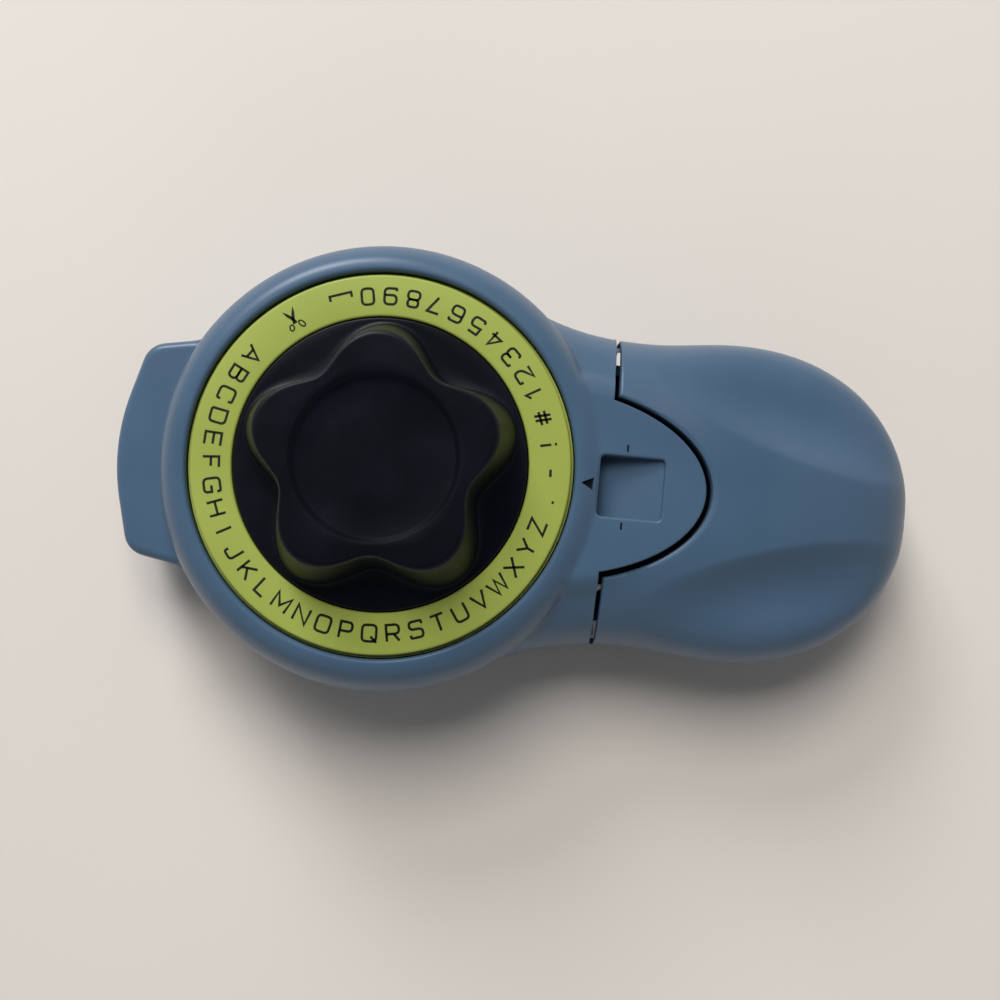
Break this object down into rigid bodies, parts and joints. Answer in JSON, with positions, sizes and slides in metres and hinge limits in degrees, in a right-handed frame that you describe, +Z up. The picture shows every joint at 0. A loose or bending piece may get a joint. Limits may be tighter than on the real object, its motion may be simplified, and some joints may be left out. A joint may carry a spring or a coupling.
{
  "type": "label maker",
  "caption": "Hand-held embossing label maker with a round head, a lobed selector knob inside a character ring, a squeeze handle behind it and a door under the tape roll.",
  "frame": {"origin": "middle of the whole length and width, on the plane that the flat underside rests on", "axes": "+X to the handle's tail, +Y across to the user's left when the tail points at the user, +Z up through the dial"},
  "size_m": [0.16, 0.0876, 0.056],
  "materials": {
    "housing_blue": "fine satin grain, moulded ABS",
    "ring_lime": "smooth satin, moulded ABS",
    "knob_navy": "fine spark grain, moulded ABS",
    "acetal_white": "natural, moulded acetal",
    "nylon_black": "moulded nylon",
    "steel": "zinc plated",
    "spring_steel": "bright drawn wire and strip",
    "bronze": "sintered bronze",
    "rubber_grey": "moulded rubber",
    "tape_black": "glossy vinyl tape"
  },
  "bodies": {
    "base": {"lower_housing": "housing_blue", "upper_housing": "housing_blue", "chassis": "acetal_white", "dial_bush": "bronze", "detent_spring": "spring_steel", "chassis_screw_1": "steel", "chassis_screw_2": "steel", "chassis_screw_3": "steel", "waist_screw_1": "steel", "waist_screw_2": "steel", "nose_screw_1": "steel", "nose_screw_2": "steel", "rocker_pin": "steel", "feed_axle": "steel", "nip_axle": "steel", "reel_axle": "acetal_white", "door_pin": "steel", "label_tape": "tape_black", "return_spring": "spring_steel"},
    "dial": {"selector_knob": "knob_navy", "character_ring": "ring_lime", "dial_shaft": "steel", "retaining_clip": "spring_steel", "dial_hub": "acetal_white", "punch_wheel": "nylon_black", "die_wheel": "nylon_black", "wheel_spacer": "acetal_white"},
    "handle": {"squeeze_handle": "housing_blue", "pivot_shaft": "steel", "press_lever": "steel"},
    "hammer": {"press_hammer": "steel"},
    "cutter": {"cutter_blade": "steel"},
    "rocker": {"cutter_rocker": "steel"},
    "pawl": {"feed_pawl": "steel"},
    "feed": {"feed_roller": "rubber_grey"},
    "nip": {"nip_roller": "acetal_white"},
    "reel": {"tape_core": "acetal_white", "tape_roll": "tape_black"},
    "door": {"tape_door": "housing_blue"}
  },
  "joints": [
    {"name": "dial_turn", "type": "hinge", "parent": "base", "child": "dial", "pos_m": [-0.02564, 0, 0.04], "axis": [0, 0, 1], "continuous": true},
    {"name": "handle_squeeze", "type": "hinge", "parent": "base", "child": "handle", "pos_m": [0.00436, 0, 0.013], "axis": [0, 1, 0], "range_deg": [0, 5.5], "stiffness_Nm_per_rad": 4, "springref_deg": -4.58, "deforming": ["return_spring"]},
    {"name": "hammer_lift", "type": "slide", "parent": "base", "child": "hammer", "axis": [0, 0, 1], "range_m": [0, 0.0013]},
    {"name": "rocker_turn", "type": "hinge", "parent": "base", "child": "rocker", "pos_m": [0.01736, -0.01669, 0.012], "axis": [0, 1, 0], "range_deg": [0, 20]},
    {"name": "cutter_lift", "type": "slide", "parent": "base", "child": "cutter", "axis": [0, 0, 1], "range_m": [0, 0.0023]},
    {"name": "pawl_swing", "type": "hinge", "parent": "handle", "child": "pawl", "pos_m": [0.02256, -0.011, 0.015], "axis": [0, 1, 0], "range_deg": [0, 12]},
    {"name": "feed_roll", "type": "hinge", "parent": "base", "child": "feed", "pos_m": [0.01466, -0.01484, 0.02658], "axis": [-0.5, 0.866, 0], "continuous": true},
    {"name": "nip_roll", "type": "hinge", "parent": "base", "child": "nip", "pos_m": [0.01466, -0.01484, 0.03252], "axis": [-0.5, 0.866, 0], "continuous": true},
    {"name": "reel_spin", "type": "hinge", "parent": "base", "child": "reel", "pos_m": [0.04454, 0.00241, 0.01678], "axis": [-0.5, 0.866, 0], "continuous": true},
    {"name": "door_open", "type": "hinge", "parent": "base", "child": "door", "pos_m": [0.02636, 0, 0.0022], "axis": [0, 1, 0], "range_deg": [0, 95]}
  ],
  "couplings": [
    {"joint": "hammer_lift", "follows": "handle_squeeze", "m_per_rad": 0.01348},
    {"joint": "rocker_turn", "follows": "handle_squeeze", "ratio": 3.5},
    {"joint": "cutter_lift", "follows": "handle_squeeze", "m_per_rad": 0.0222},
    {"joint": "nip_roll", "follows": "feed_roll", "ratio": -2.1875}
  ]
}
